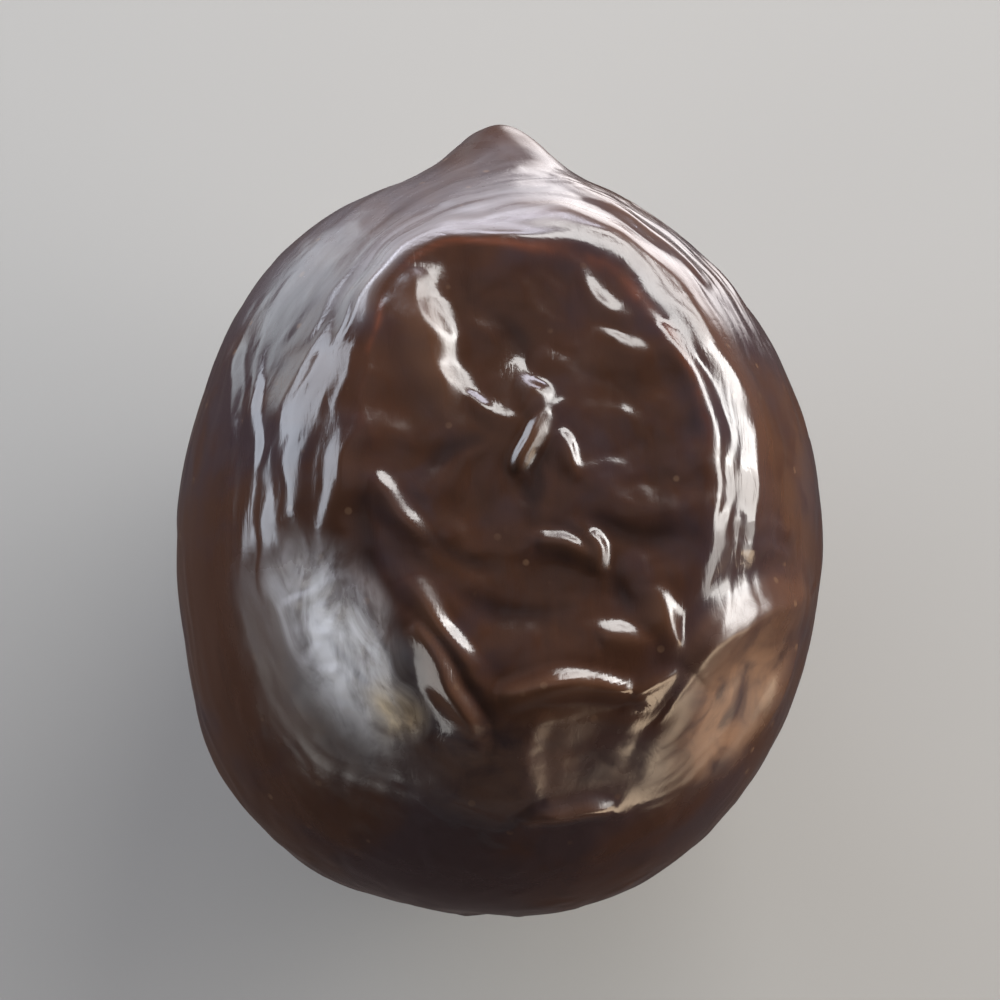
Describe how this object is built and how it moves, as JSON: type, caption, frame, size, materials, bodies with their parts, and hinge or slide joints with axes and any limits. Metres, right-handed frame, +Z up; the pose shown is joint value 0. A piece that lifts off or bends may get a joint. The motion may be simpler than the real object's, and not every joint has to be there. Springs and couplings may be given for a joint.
{
  "type": "black olive",
  "caption": "Whole dry-cured black olive lying on its side, egg-shaped with a pointed tip, a round stem pit and wrinkled, oily skin.",
  "frame": {"origin": "centre of the olive's bounding box, on the surface it rests on", "axes": "+Y along the fruit's axis towards the pointed tip, -Y towards the stem pit, +Z up from the flat spot it rests on"},
  "size_m": [0.0194, 0.024, 0.0173],
  "materials": {
    "olive_skin": "oily gloss over dark brown-black fruit skin"
  },
  "bodies": {
    "root": {"olive": "olive_skin"}
  },
  "joints": []
}
